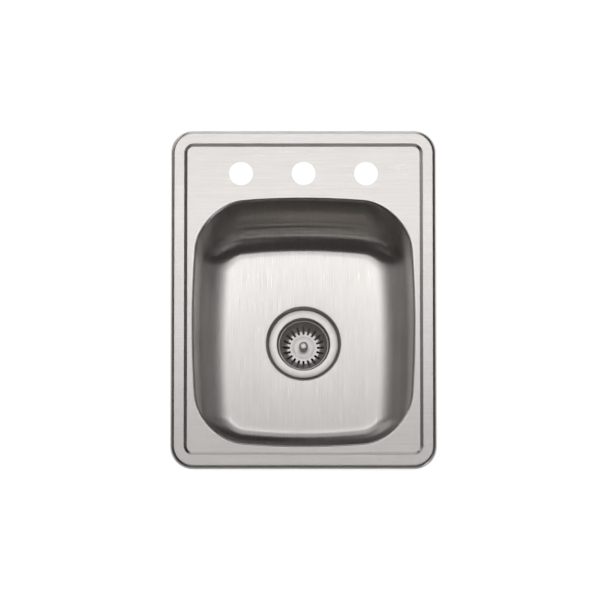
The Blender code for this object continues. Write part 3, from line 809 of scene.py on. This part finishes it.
def hex_nut_mesh(low, high, corner, bore):
    """A nut with chamfered corners, the first of them on +X."""
    apothem = corner * cos(pi / 6)
    face, chamfer, drop, steps = apothem * 0.94, 0.0004, 0.0011, 5
    shares = [k / steps for k in range(1, steps + 1)]
    slope = [(face + (corner - face) * share, drop * share**1.4) for share in shares]
    profile = [(bore, high - chamfer), (bore + chamfer, high), (face, high)]
    profile += [(r, high - z) for r, z in slope]
    profile += [(r, low + z) for r, z in slope[::-1]]
    profile += [(face, low), (bore + chamfer, low), (bore, low + chamfer)]
    bm = bmesh.new()
    lathe(bm, profile, 96, polygon_shape(apothem, 6))
    return mesh_of(bm, "hex_nut", 25)


def add_nut(name, node, body, finish, bore, at):
    """A hex nut that fills its CAD node's box, with its corners the same way round."""
    low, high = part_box(node)
    wide, deep = high.x - low.x, high.y - low.y
    mesh = hex_nut_mesh(low.z - at.z, high.z - at.z, max(wide, deep) / 2, bore)
    piece(name, mesh, body, finish, node, at, pi / 2 if deep > wide else 0.0)


def add_clips(finish):
    """At each clip: T-bolt, claw, washer and nut, each on its own body."""
    claw, bore = claw_mesh(), 0.0033
    for name in CLIPS:
        turn = SIDES[name.split("_")[0]][0]
        bolt_node, claw_node = f"clip_bolt_{name}", f"clip_claw_{name}"
        washer_node, nut_node = f"clip_washer_{name}", f"clip_nut_{name}"
        low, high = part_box(bolt_node)
        centre = (low + high) / 2
        at = Vector((centre.x, centre.y, 0))
        mesh = bolt_mesh(low.z, high.z)
        bevelled(piece(f"t_bolt_{name}", mesh, bolt_node, finish, bolt_node, at, turn), 0.00025)

        base = Vector((at.x, at.y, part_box(claw_node)[0].z))
        fitted = piece(f"claw_{name}", claw, claw_node, finish, claw_node, base, turn + pi / 2)
        bevelled(fitted, 0.0002)

        low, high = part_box(washer_node)
        outer = (high.x - low.x) / 2
        ring = softened([(bore, low.z), (bore, high.z), (outer, high.z), (outer, low.z)], 0.0003)
        bm = bmesh.new()
        lathe(bm, ring, 64)
        piece(f"washer_{name}", mesh_of(bm, f"washer_{name}"), washer_node, finish, washer_node, at)
        add_nut(f"hex_nut_{name}", nut_node, nut_node, finish, bore, at)


# ---------------------------------------------------------------- strainer


def add_turned(name, node, profile, finish, steps=ROUND_STEPS, shape=None, body="sink"):
    """A turned piece about the drain's axis."""
    bm = bmesh.new()
    lathe(bm, profile, steps, shape)
    piece(name, mesh_of(bm, name), body, finish, node, DRAIN)


def add_ring(name, node, finish, inner, radius):
    """A flat ring that fills its CAD node's box, with its corners rounded."""
    low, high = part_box(node)
    outer, bottom, top = (high.x - low.x) / 2, low.z - DRAIN.z, high.z - DRAIN.z
    profile = [(inner, bottom), (inner, top), (outer, top), (outer, bottom)]
    add_turned(name, node, softened(profile, radius), finish)


def add_strainer(steel, chrome, rubber, fibre, nylon):
    """The strainer's flanged cup with its threads, and what seals and clamps it."""
    cup, outlet, pitch, thread_depth = 0.0440, 0.0238, 0.0021, 0.0007
    end, lip = FLANGE_LOW.z - DRAIN.z, FLANGE_HIGH.x
    inner = [(0.0196, end), (0.0196, -0.0480), (0.0206, -0.0465), (0.0240, -0.0445)]
    inner += [(0.0280, -0.0418), (0.0320, -0.0402), (0.0350, -0.0389), (0.0370, -0.0378)]
    inner += [(0.0387, -0.0362), (0.0400, -0.0345), (0.0409, -0.0322), (0.0415, -0.0300)]
    inner += [(0.0418, -0.0275), (0.0419, -0.0250), (0.0419, -0.0052), (0.0420, -0.0036)]
    inner += [(0.0422, -0.0024), (0.0425, -0.0014), (0.0429, -0.0008), (0.0434, -0.0003)]
    inner += [(0.0439, -0.0001), (0.0446, 0.0)]
    flange = [(lip - 0.0008, 0.0), (lip - 0.0002, -0.0002), (lip, -0.0006), (lip, -0.0016)]
    flange.append((cup, -0.0016))
    under_recess = DRAIN_EDGE_Z - RECESS_DEPTH - SHEET - FLANGE_TOP
    top, low = under_recess - 0.0020, -0.0240
    outlet_top, outlet_low = -0.0570, end + 0.0008
    outer = [(cup, top + 0.0002), *thread_rows(cup, top, low, pitch), (0.0434, -0.0246)]
    outer += [(0.0434, -0.0310), (0.0420, -0.0357), (0.0386, -0.0393), (0.0330, -0.0420)]
    outer += [(0.0290, -0.0436), (0.0252, -0.0462), (0.0236, -0.0486), (0.0232, -0.0560)]
    outer.append((outlet, -0.0566))
    outer += thread_rows(outlet, outlet_top, outlet_low, pitch)
    outer += [(0.0234, end + 0.0002), (0.0230, end)]
    zones = [(cup, low, top, pitch, thread_depth)]
    zones.append((outlet, outlet_low, outlet_top, pitch, thread_depth))
    add_turned("strainer_cup", "strainer_body", inner + flange + outer, steel, 240, thread_shape(zones))
    add_crossbar(steel)
    add_ring("flange_seal_ring", "flange_seal", rubber, 0.0462, 0.0003)
    add_ring("gasket_ring", "rubber_gasket", rubber, 0.0446, 0.0006)
    add_ring("friction_ring", "friction_washer", fibre, 0.0446, 0.0002)

    add_locknut(chrome)
    add_ring("tailpiece_seal", "tailpiece_washer", nylon, 0.0180, 0.0003)
    add_tailpiece(chrome)
    add_coupling_nut(chrome)


def drain_span(node):
    """The lowest and highest points of a CAD node, from the flange's top."""
    low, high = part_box(node)
    return low.z - DRAIN.z, high.z - DRAIN.z


def add_locknut(chrome):
    """A ring nut with eight notches in its flange."""
    bottom, top = drain_span("locknut")
    bore, sleeve, flange, root, notches = 0.0443, 0.0490, 0.0540, 0.0495, 8
    profile = [(bore, bottom), (bore, top), (flange, top), (flange, top - 0.0025)]
    profile += [(sleeve, top - 0.0035), (sleeve, bottom)]

    def lugs(r, z, angle):
        """Notches with sloping sides, past the root's radius."""
        if r < root:
            return r
        depth = min(1.0, max(0.0, (-cos(notches * angle) - 0.2) / 0.25))
        return r - (r - root) * 0.6 * depth

    add_turned("locknut_ring", "locknut", softened(profile, 0.0005), chrome, 320, lugs)


def add_tailpiece(chrome):
    """A thin tube with a flanged top."""
    bottom, top = drain_span("tailpiece")
    inner, outer, flange = 0.01785, 0.01905, 0.0226
    profile = [(inner, bottom), (inner, top), (flange, top), (flange, top - 0.0013)]
    profile += [(outer, top - 0.0022), (outer, bottom)]
    add_turned("tailpiece_tube", "tailpiece", softened(profile, 0.0003), chrome)


def add_coupling_nut(chrome):
    """A slip nut with eight flats, and a seat for the tailpiece's flange."""
    bottom, top = drain_span("coupling_nut")
    seat, bore, thread = bottom + 0.0030, 0.01955, 0.0242
    profile = [(bore, bottom), (bore, seat), (thread, seat), (thread, top), (0.0274, top)]
    profile += [(0.0290, top - 0.0016), (0.0290, bottom + 0.0018), (0.0272, bottom)]
    flats = polygon_shape(0.0268, 8)

    def octagon(r, z, angle):
        return flats(r, z, angle) if r > 0.0260 else r

    add_turned("coupling_ring", "coupling_nut", softened(profile, 0.0003), chrome, 320, octagon)


def add_crossbar(steel):
    """Four arms across the outlet and the hub that guides the basket's post."""
    low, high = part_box("crossbar")
    reach, half, hub, bore, collar_height = (high.x - low.x) / 2, 0.0015, 0.0056, 0.0034, 0.0010
    steps = 24
    outer, inner = [], []
    for arm in range(4):
        turn = pi / 2 * arm
        edge = atan2(half, (hub**2 - half**2) ** 0.5)
        spots = [(reach, -half), (reach, half)]
        for k in range(steps - 1):
            angle = edge + (pi / 2 - 2 * edge) * k / (steps - 2)
            spots.append((hub * cos(angle), hub * sin(angle)))
        for x, y in spots:
            outer.append((x * cos(turn) - y * sin(turn), x * sin(turn) + y * cos(turn)))
    for x, y in outer:
        angle = atan2(y, x)
        inner.append((bore * cos(angle), bore * sin(angle)))
    top, bottom = high.z - DRAIN.z - collar_height, low.z - DRAIN.z + collar_height
    bm = bmesh.new()
    grain = grain_of(bm)
    turns = ((inner, bottom), (inner, top), (outer, top), (outer, bottom), (inner, bottom))
    loft(bm, [[(x, y, z) for x, y in points] for points, z in turns])
    bmesh.ops.remove_doubles(bm, verts=bm.verts, dist=1e-6)
    bmesh.ops.recalc_face_normals(bm, faces=bm.faces)
    for face in bm.faces:
        for loop in face.loops:
            loop[grain].uv = (loop.vert.co.x + loop.vert.co.z, loop.vert.co.y)
    under, over = bottom - collar_height, top + collar_height
    lathe(bm, softened([(bore, under), (bore, over), (hub, over), (hub, under)], 0.0004), 96)
    arms = piece("spider", mesh_of(bm, "spider"), "sink", steel, "crossbar", DRAIN)
    bevelled(arms, 0.0003)


# ---------------------------------------------------------------- basket


def basket_rows():
    """(radius, height) across the basket's floor, up its wall and over its rim."""
    groove_steps, wall_steps = 8, 16
    rows = [(BASKET_BORE, BASKET_FLOOR), (0.0100, BASKET_FLOOR), (0.0155, BASKET_FLOOR)]
    for k in range(groove_steps + 1):
        share = k / groove_steps * 2 - 1
        sink = GROOVE_DEPTH / 2 * (1 + cos(pi * share))
        rows.append((GROOVE_RADIUS + GROOVE_HALF_WIDTH * share, BASKET_FLOOR - sink))
    rows += [(0.0190, BASKET_FLOOR), (0.0215, BASKET_FLOOR), (0.0240, BASKET_FLOOR)]
    for k in range(wall_steps + 1):
        angle = pi / 2 * k / wall_steps
        rise = BASKET_WALL_RISE * (1 - cos(angle))
        rows.append((BASKET_WALL_START + BASKET_WALL_SPREAD * sin(angle), BASKET_FLOOR + rise))
    rows += [(0.0392, -0.0093), (0.0395, -0.0089), (0.0399, BASKET_RIM), (0.0405, BASKET_RIM)]
    return rows + [(0.0410, BASKET_RIM - 0.0002), (0.0412, BASKET_RIM - 0.0004)]


def add_basket_cup(steel):
    """The stamped cup. Columns of faces follow each slot's edges, and the faces in the slots
    are left out."""
    count, half, near, far = 20, 0.0018, 0.0220, 0.0345
    margin, fine = 0.001, 0.00045
    coarse = basket_rows()
    profile = []
    for (r, z), (s, t) in zip(coarse, coarse[1:]):
        pieces = max(1, round((s - r) / fine)) if near - margin < s and r < far + margin else 1
        profile += [(r + (s - r) * k / pieces, z + (t - z) * k / pieces) for k in range(pieces)]
    profile.append(coarse[-1])

    def opening(r):
        """Half the slot's width at a radius, with rounded ends."""
        inside = min(r - near, far - r)
        if inside <= 0:
            return 0.0
        return half if inside >= half else (half**2 - (half - inside) ** 2) ** 0.5

    bm = bmesh.new()
    grain = grain_of(bm)
    side, middle, narrowest, mean_radius = 4, 4, 0.0004, 0.04
    sector = tau / count
    rows = []
    for r, z in profile:
        edge = atan2(max(opening(r), narrowest), r) if r > 0.01 else sector / 6
        row = []
        for slot in range(count):
            centre = sector * slot
            for k in range(middle):
                row.append(centre - edge + 2 * edge * k / middle)
            for k in range(side):
                row.append(centre + edge + (sector - 2 * edge) * k / side)
        rows.append([bm.verts.new((r * cos(a), r * sin(a), z)) for a in row])
    total = len(rows[0])
    for n, (above, below) in enumerate(zip(rows, rows[1:])):
        open_here = opening(profile[n][0]) > 0 or opening(profile[n + 1][0]) > 0
        for k in range(total):
            if open_here and k % (middle + side) < middle:
                continue
            following = (k + 1) % total
            face = bm.faces.new((above[k], above[following], below[following], below[k]))
            for loop in face.loops:
                x, y, _ = loop.vert.co
                loop[grain].uv = (hypot(x, y), atan2(y, x) % tau * mean_radius)
    face_up(bm)
    cup = piece("basket_sheet", mesh_of(bm, "basket_sheet"), "basket", steel, "basket_cup", DRAIN)
    thickened(cup, BASKET_SHEET).use_even_offset = True
    split_edges(cup, 50)


def add_knob(bright):
    """A plain cylinder with a domed top, bored for the post."""
    radius, seat, top, dome, bore_top = 0.0073, BASKET_FLOOR + GAP, -0.0160, 0.0022, -0.0205
    chamfer, steps = 0.0003, 24
    knob = [(BASKET_BORE, seat), (radius - chamfer, seat), (radius, seat + chamfer)]
    for k in range(steps):
        angle = pi / 2 * k / steps
        knob.append((radius * cos(angle), top - dome + dome * sin(angle)))
    knob += [(0.0, top), (0.0, bore_top), (BASKET_BORE, bore_top)]
    add_turned("knob", "basket_knob", knob, bright, 96, body="basket")


def add_post(steel):
    """The rod that joins knob, basket and stopper, threaded where the nut sits."""
    radius, top, end, pitch, thread_depth = 0.0029, -0.0210, -0.0640, 0.0008, 0.0003
    thread_top, thread_end = -0.0410, -0.0490
    post = [(0.0, end), (0.0, top), (radius - 0.0003, top), (radius, top - 0.0004), (radius, -0.0400)]
    post += thread_rows(radius, thread_top, thread_end, pitch)
    post += [(radius, -0.0500), (radius, end + 0.0008), (0.0027, end + 0.0002), (0.0021, end)]
    zones = [(radius, thread_end, thread_top, pitch, thread_depth)]
    add_turned("post", "basket_post", post, steel, 48, thread_shape(zones), "basket")


def add_stopper(steel, rubber):
    """The rubber cup under the basket, and the disc that the nut presses against it."""
    under = BASKET_FLOOR - BASKET_SHEET - GAP - 0.0004  # clear of the groove in the floor
    stopper = [(BASKET_BORE, -0.0418), (BASKET_BORE, under), (0.0190, under), (0.0215, -0.0356)]
    stopper += [(0.0246, -0.0408), (0.0252, -0.0420), (0.0242, -0.0430), (0.0140, -0.0418)]
    add_turned("stopper_cup", "stopper", softened(stopper, 0.0006), rubber, body="basket")
    radius, bottom, top = 0.0120, -0.0431, -0.0421
    disc = [(BASKET_BORE, bottom), (BASKET_BORE, top), (radius, top), (radius, bottom)]
    add_turned("stopper_disc", "stopper_washer", softened(disc, 0.0002), steel, 96, body="basket")


def add_basket(steel, bright, rubber):
    """The basket's cup and what hangs from it, all on one body."""
    add_basket_cup(steel)
    add_knob(bright)
    add_post(steel)
    add_stopper(steel, rubber)
    add_nut("post_hex_nut", "post_nut", "basket", steel, BASKET_BORE, DRAIN)


# ---------------------------------------------------------------- stage, light and camera


def add_floor():
    """A wide pale plane just under the tailpiece."""
    bm = bmesh.new()
    bmesh.ops.create_grid(bm, x_segments=1, y_segments=1, size=6.0)
    mesh = bpy.data.meshes.new("floor")
    bm.to_mesh(mesh)
    bm.free()
    floor = bpy.data.objects.new("floor", mesh)
    floor.location.z = CAD_BOX[0].z - 0.002
    bpy.context.scene.collection.objects.link(floor)
    m = Nodes("pale_floor")
    m.set(Base_Color=(0.3, 0.3, 0.3, 1), Roughness=0.9)
    m.set(Emission_Color=(1, 1, 1, 1), Emission_Strength=0.95)
    mesh.materials.append(m.material)


def add_softbox(name, size, location, target, watts):
    """A soft panel that the camera sees only as a reflection."""
    light = bpy.data.lights.new(name, "AREA")
    light.shape = "RECTANGLE"
    light.size, light.size_y = size
    light.energy = watts
    obj = bpy.data.objects.new(name, light)
    obj.location = location
    way = Vector(target) - Vector(location)
    obj.rotation_euler = way.to_track_quat("-Z", "Y").to_euler()
    obj.visible_camera = False
    bpy.context.scene.collection.objects.link(obj)


def add_world(horizon, above):
    """Light around the stage: pale below the horizon and dim above it, with a thin band under
    the horizon where one turns into the other."""
    band = 0.012
    world = bpy.data.worlds.new("studio")
    world.use_nodes = True
    tree = world.node_tree
    back = tree.nodes["Background"]
    back.inputs["Color"].default_value = (1.0, 0.98, 0.96, 1)
    direction = tree.nodes.new("ShaderNodeTexCoord")
    height = tree.nodes.new("ShaderNodeSeparateXYZ")
    ramp = tree.nodes.new("ShaderNodeMapRange")
    ramp.inputs["From Min"].default_value = -band
    ramp.inputs["From Max"].default_value = 0.0
    ramp.inputs["To Min"].default_value = horizon
    ramp.inputs["To Max"].default_value = above
    tree.links.new(direction.outputs["Generated"], height.inputs["Vector"])
    tree.links.new(height.outputs["Z"], ramp.inputs["Value"])
    tree.links.new(ramp.outputs["Result"], back.inputs["Strength"])
    bpy.context.scene.world = world


def add_camera():
    """Looks down on the sink from in front, a little off straight down."""
    tilt, distance, view_width, sensor = radians(10.8), 14.0, 0.9728, 36
    camera = bpy.data.objects.new("camera", bpy.data.cameras.new("camera"))
    centre = Vector((-0.0057, -0.0016, DECK_HEIGHT))
    camera.location = centre + distance * Vector((0, -sin(tilt), cos(tilt)))
    camera.rotation_euler = (tilt, 0, 0)
    camera.data.sensor_width = sensor
    camera.data.lens = sensor * distance / view_width
    camera.data.clip_end = 50
    bpy.context.scene.collection.objects.link(camera)
    bpy.context.scene.camera = camera


def main():
    add_camera()
    add_floor()
    add_world(0.95, 0.04)
    add_softbox("overhead_front", (1.0, 0.44), (0, 0.06, 1.5), (0, 0.06, 0), 2.25)
    add_softbox("overhead_middle", (1.0, 0.20), (0, 0.38, 1.5), (0, 0.38, 0), 1.70)
    add_softbox("overhead_back", (1.0, 0.60), (0, 0.80, 1.5), (0, 0.80, 0), 2.05)
    add_softbox("window", (1.0, 0.36), (0, 1.4, 0.43), (0, 0, 0), 2.2)
    # The deck mirrors these two towards a camera at azimuth 45, height 25 and at 225, 15
    add_softbox("side_left", (1.3, 1.1), (-1.92, 1.92, 1.27), (0, 0, 0), 6.5)
    add_softbox("side_right", (1.3, 0.9), (2.03, -2.03, 0.86), (0, 0, 0), 6.5)
    bpy.context.scene.view_settings.view_transform = "Standard"

    steel = brushed_metal("brushed_stainless", (0.80, 0.772, 0.748), 0.31, 0.96)
    bright = turned_metal("polished_stainless", (0.63, 0.617, 0.593), 0.33)
    satin = turned_metal("satin_stainless", (0.90, 0.88, 0.85), 0.46, 0.0)
    chrome = chromed_metal("chromed_metal", (0.58, 0.585, 0.60))
    zinc = plated_metal("zinc_plated_steel", (0.66, 0.67, 0.68), (0.50, 0.52, 0.55), 0.36)
    rubber = moulded("black_rubber", (0.035, 0.035, 0.036), (0.02, 0.02, 0.021), 0.70, 900, 0.00004)
    fibre = moulded("grey_fibre", (0.48, 0.45, 0.40), (0.38, 0.35, 0.31), 0.88, 1400, 0.00005)
    nylon = moulded("white_nylon", (0.84, 0.84, 0.81), (0.78, 0.78, 0.74), 0.48, 700, 0.00002)
    pad = moulded("grey_sound_pad", (0.17, 0.17, 0.18), (0.11, 0.11, 0.12), 0.86, 500, 0.00015)

    add_shell(steel)
    add_sound_pads(pad)
    add_rails(zinc)
    add_clips(zinc)
    add_strainer(bright, chrome, rubber, fibre, nylon)
    add_basket(satin, bright, rubber)


main()
